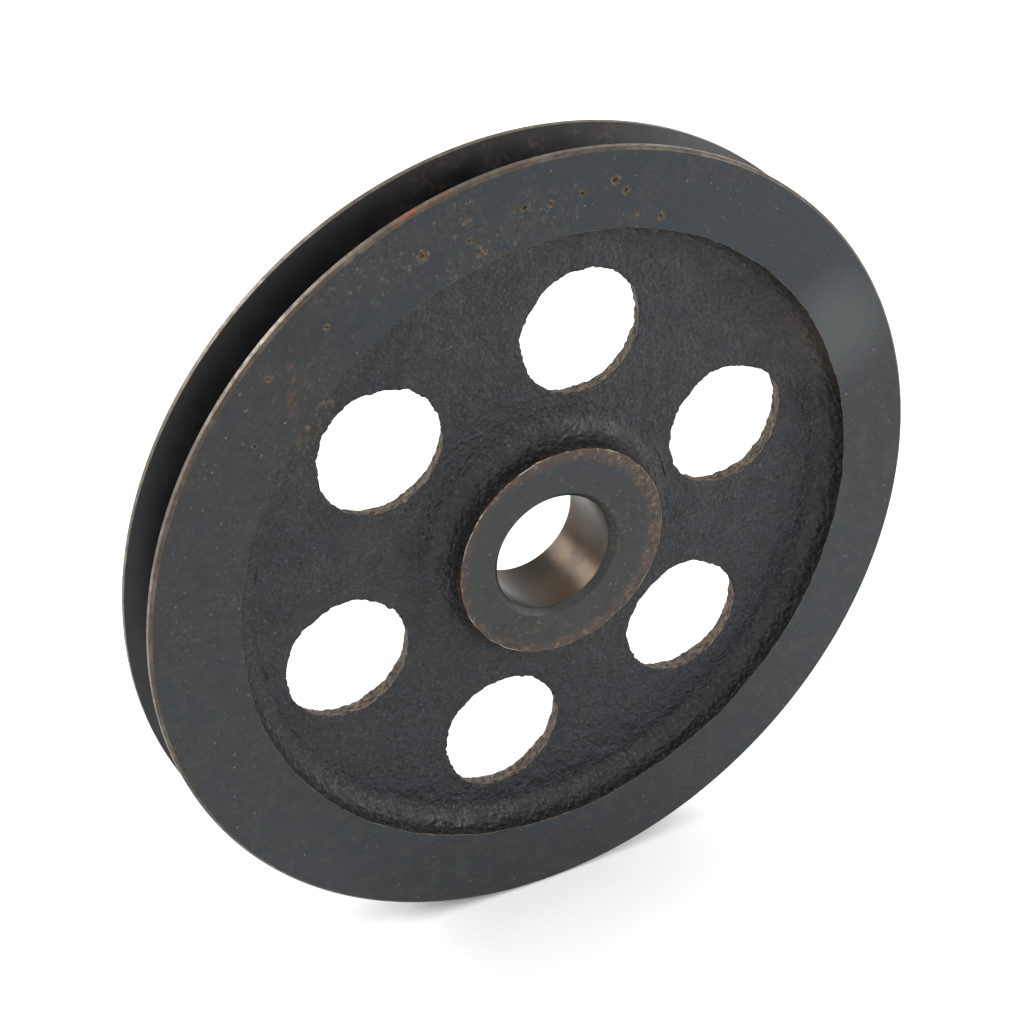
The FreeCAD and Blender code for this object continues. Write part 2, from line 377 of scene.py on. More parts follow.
def cast_wall(kind, radius, fillet, draft, face, web, out):
    """A cast wall and its fillet, from above the face in to the web. out is -1 in front."""
    slope = math.tan(draft)
    fillet_along = web + out * fillet
    wall_there = radius - kind * abs(fillet_along - face) * slope
    fillet_centre = (wall_there - kind * fillet / math.cos(draft), fillet_along)
    top = (radius + kind * overtall * slope, face + out * overtall)
    start = draft if kind == RECESS else math.pi - draft
    curve = arc(fillet_centre, fillet, -out * start, -out * math.pi / 2, fillet_points)
    return line(top, curve[0], wall_points)[:-1] + curve


recess = (RECESS, recess_radius, recess_fillet, recess_draft)
rim = start_piece("pulley_rim")
spin_section(cast_wall(*recess, rim_front, web_front, -1), rim_steps, mould_shift)
spin_section(cast_wall(*recess, rim_back, web_back, 1), rim_steps)
spin_section(line((rim_seam, web_front), (rim_seam, web_back), 2), rim_steps)
for web_face in (web_front, web_back):
    bridge_in_plane(web_face, rim_seam, cuts=3)
roughen(rim, skin_noises, held=lambda co: near(distance_from_axis(co), rim_seam))
turn_off(rim_front, -1)
turn_off(rim_back, 1)

# %% [markdown]
# The turned section is drawn last, from the middle of the front face round the outside to the
# middle of the back face. Then a bridge joins it to the ragged edge of the recess. Its corners
# get a small bevel, because a real lathe tool and years of handling leave no knife edges.

# %% Rim, as turned
half_mouth = groove_mouth / 2
half_floor = half_mouth - groove_depth * math.tan(groove_angle / 2)
floor_radius = outer_radius - groove_depth
face_ring = recess_radius + 6

turned_rim = (
    [(face_ring, rim_front), (outer_radius - rim_chamfer, rim_front)]
    + [(outer_radius, rim_front + rim_chamfer), (outer_radius, -half_mouth)]
    + [(floor_radius, -half_floor), (floor_radius, half_floor)]
    + [(outer_radius, half_mouth), (outer_radius, rim_back - rim_chamfer)]
    + [(outer_radius - rim_chamfer, rim_back), (face_ring, rim_back)]
)
spin_section(turned_rim, rim_steps)


def bevel_corners(corners, width):
    """Bevels the round edges that run through these points of the section."""
    bpy.ops.mesh.select_mode(type="EDGE")
    mesh = bmesh.from_edit_mesh(bpy.context.edit_object.data)
    for edge in mesh.edges:
        edge.select_set(any(
            all(near(distance_from_axis(v.co), r) and near(v.co.y / MM, y) for v in edge.verts)
            for r, y in corners
        ))
    bmesh.update_edit_mesh(bpy.context.edit_object.data)
    bpy.ops.mesh.bevel(offset=width * MM, segments=2, affect="EDGES")


corner_wear = 0.12
bevel_corners(turned_rim[1:-1], corner_wear)
for face in (rim_front, rim_back):
    bridge_in_plane(face, face_ring)

# %% [markdown]
# Where the rough skin meets a turned face, handling has rubbed the sharp edge down. The edge is
# found as the one that turns by more than 40 degrees in the plane of the face, and gets a bevel
# of its own. A bevel goes wrong where neighbouring faces disagree on which side is out, so that is
# put right first.

# %% Worn edges between skin and face
SHARP = math.radians(40)


def wear_edge(face, reach_in, reach_out, width):
    """Bevels the ragged edge in the plane of a face, between two distances from the axis."""
    bpy.ops.mesh.select_all(action="SELECT")
    bpy.ops.mesh.normals_make_consistent(inside=False)
    bpy.ops.mesh.select_mode(type="EDGE")
    bpy.ops.mesh.select_all(action="DESELECT")
    mesh = bmesh.from_edit_mesh(bpy.context.edit_object.data)
    found = [
        edge for edge in mesh.edges
        if len(edge.link_faces) == 2 and edge.calc_face_angle() > SHARP
        and all(near(v.co.y / MM, face, 0.002) for v in edge.verts)
        and all(reach_in < distance_from_axis(v.co) < reach_out for v in edge.verts)
    ]
    for edge in found:
        edge.select_set(True)
    bmesh.update_edit_mesh(bpy.context.edit_object.data)
    bpy.ops.mesh.bevel(offset=width * MM, segments=2, affect="EDGES", clamp_overlap=True)
    print("  wore", len(found), "edges at", face)


for face in (rim_front, rim_back):
    wear_edge(face, recess_radius - 5, face_ring - 1, corner_wear)

# %% [markdown]
# The turned face opened some gas pores just under the skin of the casting, mostly at one side of
# the rim, where the metal was poured last. Each is a small crater with a deeper throat, eaten
# wider by rust. A little section is spun for each one, roughened, and cut out of the face.
# The places are an angle round the wheel in degrees and a distance from the axis in mm.
#
# A Boolean leaves faces with many corners along the cut. When they are split into triangles, two
# slivers can fold flat on each other. All faces are split at once, which drops one sliver of each
# such pair. The other then hangs open, is found by its open edges, and is deleted.

# %% Pores in the front face
pores = [
    (81, 92.5, 1.4), (79, 90.0, 1.2), (72, 84.6, 1.3), (76, 84.7, 0.8), (103, 84.0, 1.4),
    (111, 90.0, 1.6), (104, 87.6, 1.2), (95, 90.0, 1.1), (91, 89.3, 1.0), (86, 90.0, 1.0),
    (118, 87.5, 0.8), (127, 91.0, 0.9), (137, 94.0, 1.0), (146, 87.5, 0.8), (58, 90.5, 0.8),
]
pore_steps = 26
pore_noises = [(sand_noise("rust_bites", 1.6), 0.35), (sand_noise("rust_crumbs", 0.7), 0.18)]


def cut_out(piece, cutter):
    """Cuts a mesh out of a piece, and leaves the piece in edit mode."""
    if bpy.context.mode != "OBJECT":
        bpy.ops.object.mode_set(mode="OBJECT")
    bpy.ops.object.select_all(action="DESELECT")
    piece.select_set(True)
    bpy.context.view_layer.objects.active = piece
    bpy.ops.object.modifier_add(type="BOOLEAN")
    cut = piece.modifiers[-1]
    cut.operation, cut.solver, cut.object = "DIFFERENCE", "EXACT", cutter
    bpy.ops.object.modifier_apply(modifier=cut.name)
    bpy.data.objects.remove(cutter)
    bpy.ops.object.mode_set(mode="EDIT")
    bpy.ops.mesh.select_mode(type="FACE")
    bpy.ops.mesh.select_all(action="SELECT")
    bpy.ops.mesh.remove_doubles(threshold=WELD / 10 * MM)
    bpy.ops.mesh.quads_convert_to_tris(quad_method="BEAUTY", ngon_method="BEAUTY")
    bpy.ops.mesh.select_all(action="DESELECT")
    mesh = bmesh.from_edit_mesh(piece.data)
    folds = [face for face in mesh.faces if any(edge.is_boundary for edge in face.edges)]
    for fold in folds:
        fold.select_set(True)
    bmesh.update_edit_mesh(piece.data)
    bpy.ops.mesh.delete(type="FACE")
    print("  cut", piece.name, "and took off", len(folds), "folded slivers")


bpy.ops.object.mode_set(mode="OBJECT")
pore_cutters = start_piece("pore_cutters")
for degrees, away, size in pores:
    place = at_angle(degrees, away)
    crater = [(0, -1.2), (size, -1.2), (size, -0.6), (size, -0.06), (size * 0.85, 0.03)]
    throat = [(size * 0.5, 0.08), (size * 0.34, 0.22), (size * 0.2, 0.36), (0, 0.4)]
    spin_section([(r, rim_front + along) for r, along in crater + throat], pore_steps, place)
roughen(pore_cutters, pore_noises, held=lambda co: co.y / MM < rim_front - 1)
finish_piece(pore_cutters, ROUGH_CREASE)
cut_out(rim, pore_cutters)
finish_piece(rim, TURNED_CREASE)

# %% [markdown]
# ## The hub
#
# The hub is a boss on both sides of the web, its walls cast and its ends and bore turned. It is
# made the same way round: cast walls about their own axes, faced off, then the turned section.

# %% Hub, as cast
hub_steps = 400
boss = (BOSS, hub_radius, hub_fillet, hub_draft)
hub = start_piece("pulley_hub")
spin_section(cast_wall(*boss, hub_front, web_front, -1), hub_steps, mould_shift)
spin_section(cast_wall(*boss, hub_back, web_back, 1), hub_steps)
spin_section(line((hub_seam, web_front), (hub_seam, web_back), 2), hub_steps)
for web_face in (web_front, web_back):
    bridge_in_plane(web_face, hub_seam, cuts=1)
roughen(hub, skin_noises, held=lambda co: near(distance_from_axis(co), hub_seam))
turn_off(hub_front, -1)
turn_off(hub_back, 1)

# %% Hub, as turned
hub_face_ring = hub_radius - 5
turned_hub = (
    [(hub_face_ring, hub_front), (bore_radius + bore_chamfer, hub_front)]
    + [(bore_radius, hub_front + bore_chamfer), (bore_radius, hub_back - bore_chamfer)]
    + [(bore_radius + bore_chamfer, hub_back), (hub_face_ring, hub_back)]
)
spin_section(turned_hub, hub_steps)
bore_corner_wear, hub_edge_wear = 0.1, 0.2
bevel_corners(turned_hub[1:-1], bore_corner_wear)
for face in (hub_front, hub_back):
    bridge_in_plane(face, hub_face_ring)
for face in (hub_front, hub_back):
    wear_edge(face, hub_face_ring + 1, hub_radius + 4, hub_edge_wear)
finish_piece(hub, TURNED_CREASE)

# %% [markdown]
# ## The web
#
# The web is a plain sheet between the seams of the hub and the rim, rough all over. Its rings are
# close together so that the lumps are real. The six holes were cast round sand cores, which leave
# a wall rougher than the mould does, wider at the back, with a ragged edge. Cutters with that rough
# wall are made first, all six in one mesh, and a Boolean takes them out of the sheet.

# %% Web sheet
web_steps, web_rings = 520, 46
web = start_piece("pulley_web")
sheet = [line((hub_seam, along), (rim_seam, along), web_rings) for along in (web_front, web_back)]
spin_section(sheet[0] + sheet[1][::-1] + sheet[0][:1], web_steps)


def on_seam(co):
    """Whether a vertex of the web lies on its seam with the hub or the rim."""
    away = distance_from_axis(co)
    return near(away, hub_seam) or near(away, rim_seam)


roughen(web, skin_noises, held=on_seam)
finish_piece(web, ROUGH_CREASE)

# %% Hole cutters
core_steps, core_rings = 230, 22
core_noises = [
    (sand_noise("core_swelling", 14.0), 0.60),
    (sand_noise("core_crumbs", 2.8), 0.46),
    (sand_noise("core_grains", 1.1), 0.36),
]
hole_places = []
for number in range(hole_count):
    angle = first_hole + number * 2 * math.pi / hole_count
    hole_places.append(Vector((math.cos(angle), 0, math.sin(angle))) * hole_circle)


def hole_radius_at(along):
    """Radius of a cast hole at a place through the web, in millimetres."""
    return hole_radius + (along - web_front) * math.tan(hole_draft)


reach, calm_end = 3.0, 0.6
ends = (web_front - reach, web_back + reach)
cutters = start_piece("core_cutters")
for place in hole_places:
    spin_section(line(*[(hole_radius_at(y), y) for y in ends], core_rings), core_steps, place)
for end in ends:
    select_open_edges(lambda co: near(co.y / MM, end))
    bpy.ops.mesh.fill_holes(sides=0)


def clear_of_web(co):
    """Whether a vertex of a cutter is at its very end, which stays flat."""
    return abs(co.y / MM) > web_back + reach - calm_end


roughen(cutters, core_noises, held=clear_of_web)
finish_piece(cutters, ROUGH_CREASE)

# %% Holes
cut_out(web, cutters)
finish_piece(web, ROUGH_CREASE)

# %% [markdown]
# ## Finishes
#
# Every surface of the pulley is the same grey iron, but the foundry, the lathe, the blackening
# bath, the belt and the damp have each left a skin of their own. A finish is made for each skin
# and is then given to faces by their place. Colours are written as the sRGB values a colour
# picker would show, and one function turns them into the linear values that the shader needs.
#
# A finish is built up as on the bench: a ground colour, then layers over it, each one only where
# its masks let it through. The size of a pattern is given in millimetres, because a noise of
# scale 1000 / size has spots of about that size when the scene is in metres.

# %% Finish tools: nodes and colours
def linear(colour):
    """An sRGB hex colour as the linear colour that a shader wants."""
    parts = [int(colour[place:place + 2], 16) / 255 for place in (1, 3, 5)]
    return tuple(p / 12.92 if p <= 0.04045 else ((p + 0.055) / 1.055) ** 2.4 for p in parts) + (1,)


def add_node(tree, kind, inputs=None, **settings):
    """Adds a node with its settings, and sets or links its inputs."""
    node = tree.nodes.new("ShaderNode" + kind)
    for setting, value in settings.items():
        setattr(node, setting, value)
    for socket, value in (inputs or {}).items():
        if isinstance(value, bpy.types.NodeSocket):
            tree.links.new(value, node.inputs[socket])
        else:
            node.inputs[socket].default_value = value
    return node


def start_finish(name):
    """A new material: its node tree, its shader and its Object coordinates."""
    material = bpy.data.materials.new(name)
    material.use_nodes = True
    tree = material.node_tree
    return material, tree, tree.nodes["Principled BSDF"], add_node(tree, "TexCoord").outputs["Object"]


def where_all(tree, masks):
    """One mask that is strong only where all of these are."""
    together = masks[0]
    for mask in masks[1:]:
        together = add_node(tree, "Math", {0: together, 1: mask}, operation="MULTIPLY").outputs[0]
    return together


def layered(tree, ground, layers):
    """A ground colour with layers over it, each a colour and the masks that let it through."""
    colour = linear(ground)
    for paint, *masks in layers:
        mix = {0: where_all(tree, masks), 6: colour, 7: linear(paint)}
        colour = add_node(tree, "Mix", mix, data_type="RGBA").outputs[2]
    return colour


def finish_shader(tree, shader, colour, gloss, reliefs, metallic=0.0):
    """Links a finish to its shader. gloss is a mask and the roughness where it is 0 and 1.

    Each relief is a height mask and its depth in millimetres, and lies on top of the last.
    """
    tree.links.new(colour, shader.inputs["Base Color"])
    mask, smoothest, roughest = gloss
    roughness = add_node(tree, "MapRange", {"Value": mask, "To Min": smoothest, "To Max": roughest})
    tree.links.new(roughness.outputs["Result"], shader.inputs["Roughness"])
    for height, depth in reliefs:
        bump = add_node(tree, "Bump", {"Height": height, "Distance": depth * MM, "Strength": 1.0})
        for link in list(shader.inputs["Normal"].links):
            tree.links.new(link.from_socket, bump.inputs["Normal"])
        tree.links.new(bump.outputs["Normal"], shader.inputs["Normal"])
    shader.inputs["Metallic"].default_value = metallic

# %% [markdown]
# Four masks do nearly all the work: spots from a noise, a round patch, a ring that follows an
# edge, and a slow change towards the side of the wheel where damp got in. The lathe's marks are
# a wave texture, whose scale of pi / 10 to a metre gives one ring to a metre.

# %% Finish tools: masks
def spots(tree, place, size, low, high, detail=2.0, most=1.0):
    """A mask from 0 to most: spots of this size in mm where a noise is above low to high."""
    noise = add_node(tree, "TexNoise", {
        "Vector": place, "Scale": 1000 / size, "Detail": detail, "Roughness": 0.6,
    })
    mask = add_node(tree, "MapRange", {
        "Value": noise.outputs["Fac"], "From Min": low, "From Max": high, "To Max": most,
    }, interpolation_type="SMOOTHSTEP")
    return mask.outputs["Result"]


def patch_mask(tree, place, centre, far, close, most=1.0):
    """A soft round patch: nothing beyond the far distance, most within the close one, in mm."""
    away = add_node(tree, "VectorMath", {0: place, 1: centre * MM}, operation="DISTANCE")
    return add_node(tree, "MapRange", {
        "Value": away.outputs["Value"], "From Min": far * MM, "From Max": close * MM, "To Max": most,
    }, interpolation_type="SMOOTHSTEP").outputs["Result"]


def ring_mask(tree, place, centre, inner, outer):
    """A mask that grows from 0 at the inner radius to 1 at the outer one, both in mm."""
    shifted = add_node(tree, "VectorMath", {0: place, 1: centre * MM}, operation="SUBTRACT")
    flat = add_node(tree, "VectorMath", {0: shifted.outputs[0], 1: (1, 0, 1)}, operation="MULTIPLY")
    away = add_node(tree, "VectorMath", {0: flat.outputs[0]}, operation="LENGTH")
    return add_node(tree, "MapRange", {
        "Value": away.outputs["Value"], "From Min": inner * MM, "From Max": outer * MM,
    }, interpolation_type="SMOOTHSTEP").outputs["Result"]


damp_side = Vector((-0.71, 0, 0.71))


def damp_mask(tree, place, dry, wet):
    """A mask that grows towards the damp side of the wheel, between two distances in mm."""
    along = add_node(tree, "VectorMath", {0: place, 1: damp_side}, operation="DOT_PRODUCT")
    return add_node(tree, "MapRange", {
        "Value": along.outputs["Value"], "From Min": dry * MM, "From Max": wet * MM,
    }, interpolation_type="SMOOTHSTEP").outputs["Result"]


def rust_layers(tree, place, rust, rusted):
    """A layer of rust for each rusted place, which is a centre and a size in millimetres."""
    return [
        (rust, patch_mask(tree, place, centre, size, size * 0.1), spots(tree, place, 1.2, 0.4, 0.62, 4.0))
        for centre, size in rusted
    ]


def lathe_rings(tree, place, spacing, kind="RINGS"):
    """Fine tool marks round the axis, this far apart in millimetres."""
    marks = add_node(tree, "TexWave", {
        "Vector": place, "Scale": math.pi / 10 / (spacing * MM), "Distortion": 0.6,
        "Detail": 2.0, "Detail Scale": 4.0,
    }, wave_type=kind, rings_direction="Y", bands_direction="Y")
    return marks.outputs["Fac"]

# %% [markdown]
# **Turned and blackened iron.** The faces were turned, blackened hot and oiled. Magnetite on iron
# is a slate-blue black, and the oil film gives it a satin gloss like any clear coating, so it is
# a dielectric and not a bare metal. Oil has an IOR of 1.47, matched down to 1.4 because the film
# is thin and uneven. The black is mottled in clouds of 30 mm and 4.5 mm and grains of 1.3 mm, and
# one side is bluer. Damp has got through on one side in brown clouds 13 mm across, with stains
# and grains of 1 to 2 mm in them. Round one place the skin has flaked off in tan freckles of 2 mm.
# A few pale specks lie all over, and one patch of the rim, about 40 mm across, is painted paler: a
# painted sheen where the light falls brightest on the face.
# The rings of the lathe are 0.35 mm apart and only just there.

# %% Finish: turned iron
OIL_IOR = 1.4
# The pale patch round this place is a painted sheen, lighter where the light falls on the rim.
painted_sheen_place = at_angle(27.4, 86.8, rim_front)
blue_place = at_angle(75, 80, rim_front)
flaked_place = at_angle(110, 88, rim_front)


def turned_iron(name, slate, damp_reach, flakes, rusted=(), rim_of_rust=None):
    """Blackened turned iron. flakes is the patch that has flaked, as patch_mask takes it.

    rim_of_rust is the centre, inner and outer radius of a rusty edge, in millimetres.
    """
    material, tree, shader, place = start_finish(name)
    damp = damp_mask(tree, place, *damp_reach)
    clouds = where_all(tree, [damp, spots(tree, place, 13, 0.40, 0.62, 5.0)])
    flaked = where_all(tree, [clouds, patch_mask(tree, place, *flakes)])
    freckles = where_all(tree, [flaked, spots(tree, place, 1.9, 0.58, 0.69, 4.0)])
    layers = [
        ("#0e0f10", spots(tree, place, 30, 0.35, 0.7, 3.0, 0.7)),
        ("#26292b", spots(tree, place, 1.3, 0.5, 0.72, 4.0, 0.6)),
        ("#272624", spots(tree, place, 4.5, 0.48, 0.66, 5.0, 0.6)),
        ("#0b1a24", patch_mask(tree, place, blue_place, 95, 25, 0.7)),
        ("#242220", clouds, spots(tree, place, 2.2, 0.36, 0.62, 4.0)),
        ("#393630", clouds, spots(tree, place, 0.9, 0.52, 0.72, 3.0)),
        ("#4d4437", freckles),
        ("#6d7375", spots(tree, place, 0.9, 0.74, 0.8, 1.0, 0.6)),
        # Painted sheen: a paler patch where the light falls on the rim face.
        ("#3a3e3f", patch_mask(tree, place, painted_sheen_place, 21, 3, 0.75)),
    ]
    layers += rust_layers(tree, place, "#443129", rusted)
    if rim_of_rust:
        ring = ring_mask(tree, place, *rim_of_rust)
        layers.append(("#382b24", ring, spots(tree, place, 3.0, 0.34, 0.6, 5.0)))
        layers.append(("#5c4b3d", ring, spots(tree, place, 1.2, 0.52, 0.68, 4.0)))
    reliefs = [
        (lathe_rings(tree, place, 0.35), 0.004),
        (spots(tree, place, 1.1, 0.2, 0.8, 3.0), 0.016),
        (freckles, -0.06),
    ]
    finish_shader(tree, shader, layered(tree, slate, layers), (clouds, 0.36, 0.55), reliefs)
    shader.inputs["IOR"].default_value = OIL_IOR
    return material


rust_streak = ((134, 90.7), (135.3, 88.9), (136.7, 87.1), (138.1, 85.3), (139.6, 83.5), (136.7, 94))
face_rust = [(at_angle(degrees, away, rim_front), 1.9) for degrees, away in rust_streak]
turned_face = turned_iron(
    "oil_blackened_turned_iron", "#141b20", (-10, 68), (flaked_place, 60, 8, 1.0), face_rust
)
rust_ring = (mould_shift - Vector((1.2, 0, 0)), hub_radius - 3.8, hub_radius - 0.8)
hub_face = turned_iron(
    "oil_blackened_hub_end", "#202323", (-70, 0), (Vector(), 60, 30, 0.45), rim_of_rust=rust_ring
)
print("turned iron", len(turned_face.node_tree.nodes), "nodes")

# %% [markdown]
# **Sand-cast iron.** The skin of a sand casting keeps the print of sand grains of 0.3 to 0.6 mm,
# here drawn at 0.9 mm so that they show, with scattered lumps and pocks of 2 to 3 mm. Blackening
# leaves it matt and nearly black, darker in the hollows, with a little brown dust on the damp
# side and bright points where a grain was rubbed bare. On the steep walls the sand was rammed less
# tightly, and the skin is coarser. A patch of tan scale is loose at one place on the recess edge,
# and one speck of yellow paint has landed on the web.

# %% Finish: sand-cast iron
loose_scale = at_angle(139, 80, rim_front + 1)
paint_speck = at_angle(-68.4, 33, web_front)


def sand_cast_iron(name, black, grain, depth):
    """The blackened skin of the casting, with its grain and the depth of its gaps in mm."""
    material, tree, shader, place = start_finish(name)
    grit = add_node(tree, "TexVoronoi", {
        "Vector": place, "Scale": 1000 / grain, "Randomness": 1.0,
    }, feature="SMOOTH_F1").outputs["Distance"]
    gaps = add_node(tree, "MapRange", {"Value": grit, "From Min": 0.36, "From Max": 0.62})
    dusty = where_all(tree, [damp_mask(tree, place, -40, 90), spots(tree, place, 16, 0.42, 0.62, 3.0)])
    scale = patch_mask(tree, place, loose_scale, 14, 3)
    colour = layered(tree, black, [
        ("#070708", gaps.outputs["Result"]),
        ("#060606", spots(tree, place, 1.6, 0.56, 0.66, 3.0)),
        ("#191816", dusty),
        ("#3d372d", dusty, spots(tree, place, 0.9, 0.56, 0.7)),
        ("#272a2c", spots(tree, place, 0.8, 0.5, 0.68, 2.0, 0.8)),
        ("#4c4e4e", spots(tree, place, 0.8, 0.68, 0.78, 1.0, 0.7)),
        ("#5d5140", scale, spots(tree, place, 1.6, 0.46, 0.6, 3.0)),
        ("#9a7420", patch_mask(tree, place, paint_speck, 0.8, 0.4)),
        # Painted sheen: the same pale patch, carried onto the cast skin beside the rim face.
        ("#3c3630", patch_mask(tree, place, painted_sheen_place, 21, 3, 0.6)),
    ])
    reliefs = [(spots(tree, place, 2.6, 0.25, 0.75, 3.0), 0.25), (grit, -depth)]
    finish_shader(tree, shader, colour, (spots(tree, place, 6, 0.3, 0.7, 3.0), 0.42, 0.62), reliefs)
    shader.inputs["IOR"].default_value = OIL_IOR
    return material


cast_skin = sand_cast_iron("sand_cast_blackened_iron", "#151a20", 0.9, 0.28)
coarse_skin = sand_cast_iron("coarse_sand_cast_iron", "#1a1816", 1.2, 0.38)
print("sand-cast iron", len(cast_skin.node_tree.nodes), "nodes")

# %% [markdown]
# **Belt groove.** The belt has polished its flanks to a smoother, deeper black with a fine rubber
# film. Near the top of the wheel a little rust bleeds through it. The tool marks are 0.5 mm apart.

# %% Finish: belt groove
def belt_polished_iron(name):
    """Black groove flanks, burnished by the belt."""
    material, tree, shader, place = start_finish(name)
    colour = layered(tree, "#0e0f10", [
        ("#080808", spots(tree, place, 9, 0.4, 0.65, 3.0)),
        (
            "#362822", patch_mask(tree, place, at_angle(84, 94), 58, 10),
            spots(tree, place, 14, 0.44, 0.6, 3.0), spots(tree, place, 1.3, 0.46, 0.66, 4.0),
        ),
    ])
    gloss = (spots(tree, place, 7, 0.3, 0.7, 3.0), 0.3, 0.42)
    finish_shader(tree, shader, colour, gloss, [(lathe_rings(tree, place, 0.5), 0.004)])
    shader.inputs["IOR"].default_value = OIL_IOR
    return material


groove_finish = belt_polished_iron("belt_polished_black_iron")

# %% [markdown]
# **Bare iron, worn.** Where hands, the bench and the belt's edge rub, the black is gone: the two
# lands beside the groove, their corners, and the edges of the recess and the hub. Worn grey iron
# is a metal, so its colour is in its reflection. Brown tarnish lies on it in spots of 6 mm, and
# fresh orange rust in two places on the front land.

# %% Finish: worn iron
def worn_iron(name, metal, tarnish, black_left, rusted=()):
    """Bare grey iron with tarnish. black_left is the noise level above which the black is gone."""
    material, tree, shader, place = start_finish(name)
    worn = spots(tree, place, 5, black_left - 0.06, black_left + 0.06, 4.0)
    layers = [
        (metal, worn),
        (tarnish, worn, spots(tree, place, 6, 0.32, 0.54, 4.0)),
        ("#3a3430", worn, spots(tree, place, 1.5, 0.5, 0.7, 3.0, 0.8)),
    ]
    layers += rust_layers(tree, place, "#8a4522", rusted)
    colour = layered(tree, "#141516", layers)
    gloss = (spots(tree, place, 2, 0.3, 0.7, 3.0), 0.34, 0.55)
    finish_shader(tree, shader, colour, gloss, [(spots(tree, place, 0.9, 0.2, 0.8, 3.0), 0.02)])
    bare = add_node(tree, "MapRange", {"Value": worn, "To Max": 0.75})
    tree.links.new(bare.outputs["Result"], shader.inputs["Metallic"])
    return material


land_rust = [(at_angle(110, outer_radius, rim_front + 1), 6.0)]
land_rust += [(at_angle(105.5, outer_radius, rim_front + 1), 3.0)]
land_finish = worn_iron("worn_bare_land", "#60574c", "#4e453c", 0.20, land_rust)
corner_finish = worn_iron("worn_corner", "#5a5248", "#463e35", 0.34)
edge_finish = worn_iron("worn_bare_edge", "#8a7f6c", "#594838", 0.46)
hub_edge_finish = worn_iron("worn_hub_edge", "#b3a68e", "#5a4030", 0.36)

# %% [markdown]
# ** Pores.** The craters hold dull tan rust in crumbs of 0.8 mm. Their throats are dark rust, made darker still by painted shade where they sink deepest.

# %% Finish: pores
def pore_rust_and_shade(name, outer_rust, inner_rust):
    """Dull rust in a pore, or in its throat darker rust with painted shade."""
    material, tree, shader, place = start_finish(name)
    colour = layered(tree, outer_rust, [(inner_rust, spots(tree, place, 0.8, 0.4, 0.62, 3.0))])
    gloss = (spots(tree, place, 1, 0.3, 0.7), 0.75, 0.95)
    finish_shader(tree, shader, colour, gloss, [(spots(tree, place, 0.5, 0.3, 0.7), 0.1)])
    return material


crater_finish = pore_rust_and_shade("tan_crater_rust", "#393128", "#564936")
# The throat's darker colours are partly painted shade, deepest in the pore.
throat_rust_and_shade_finish = pore_rust_and_shade("dark_throat_rust_and_painted_shade", "#1b1512", "#32271e")

# %% [markdown]
# **Bored iron.** The bore is the one surface cut to size and never blackened right through: bare
# metal, brown with old oil, with the boring tool's marks round it every 0.25 mm. A smear of
# greenish grease is left low down near the front.

# %% Finish: bored iron
def bored_iron(name):
    """The oiled bare metal of the bore."""
    material, tree, shader, place = start_finish(name)
    colour = layered(tree, "#3f3429", [
        ("#2c251f", spots(tree, place, 12, 0.35, 0.68, 3.0)),
        ("#47524a", patch_mask(tree, place, at_angle(222, bore_radius, hub_front + 5), 10, 2, 0.8)),
        ("#2f2b28", spots(tree, place, 1.0, 0.6, 0.74, 2.0, 0.4)),
    ])
    marks = lathe_rings(tree, place, 0.25, "BANDS")
    reliefs = [(marks, 0.006), (spots(tree, place, 0.9, 0.2, 0.8, 3.0), 0.012)]
    finish_shader(tree, shader, colour, (marks, 0.26, 0.35), reliefs, metallic=0.9)
    return material


bore_finish = bored_iron("bored_oiled_iron")

# %% [markdown]
# **Core print.** The walls of the cast holes never saw the black bath's full strength. They are
# spongy, a dull brown of scale and old core sand, with darker pores about a millimetre wide.

# %% Finish: hole walls
def core_sand_iron(name):
    """The scaly brown wall of a cast hole."""
    material, tree, shader, place = start_finish(name)
    colour = layered(tree, "#473b2f", [
        ("#6b5c4a", spots(tree, place, 2.0, 0.4, 0.65, 3.0)),
        ("#17120f", spots(tree, place, 1.2, 0.48, 0.6, 3.0, 0.95)),
    ])
    gloss = (spots(tree, place, 2, 0.3, 0.7), 0.7, 0.9)
    finish_shader(tree, shader, colour, gloss, [(spots(tree, place, 1.2, 0.3, 0.7, 3.0), 0.6)])
    return material


hole_finish = core_sand_iron("scaly_core_wall_iron")

# %% [markdown]
# A finish goes on faces by their place. Each rule looks at the middle of a face, in millimetres,
# as its distance from the axis and its place along it, and at which way the face points. A turned
# face points straight along the axis, a worn edge leans, and a cast wall is steeper than its fillet.

# %% Which finish goes where
def lay_finishes(piece, finishes, rule):
    """Gives each face of a piece the finish whose number the rule returns."""
    for finish in finishes:
        piece.data.materials.append(finish)
    for polygon in piece.data.polygons:
        middle = polygon.center
        polygon.material_index = rule(
            distance_from_axis(middle), middle.y / MM, polygon.normal, middle
        )
    used = {polygon.material_index for polygon in piece.data.polygons}
    print(piece.name, "has", len(used), "of", len(finishes), "finishes")


def is_face(along, normal, face):
    """Whether a mesh face is part of the turned face at this place along the axis."""
    return near(along, face, 2 * WELD) and abs(normal.y) > 0.98


def is_worn_edge(along, normal, face):
    """Whether a mesh face is part of the worn edge beside a turned face."""
    return near(along, face, 0.25) and 0.25 < abs(normal.y) < 0.98


def is_steep(middle, radius, side):
    """Whether a mesh face is on a cast wall, outside (1) or inside (-1) a radius about its axis."""
    centre = mould_shift if middle.y < 0 else Vector()
    return side * (distance_from_axis(middle, centre) - radius) > 0


def in_pore(away, along, middle):
    """Whether a mesh face is sunk in the front face, and not part of the recess."""
    if not (rim_front + 0.01 < along < rim_front + 1 and away < outer_radius - 3):
        return False
    return distance_from_axis(middle, mould_shift) > recess_radius + 1.2

# %% Finishes of the rim
rim_finishes = [turned_face, groove_finish, land_finish, corner_finish]
rim_finishes += [edge_finish, crater_finish, throat_rust_and_shade_finish, coarse_skin, cast_skin]


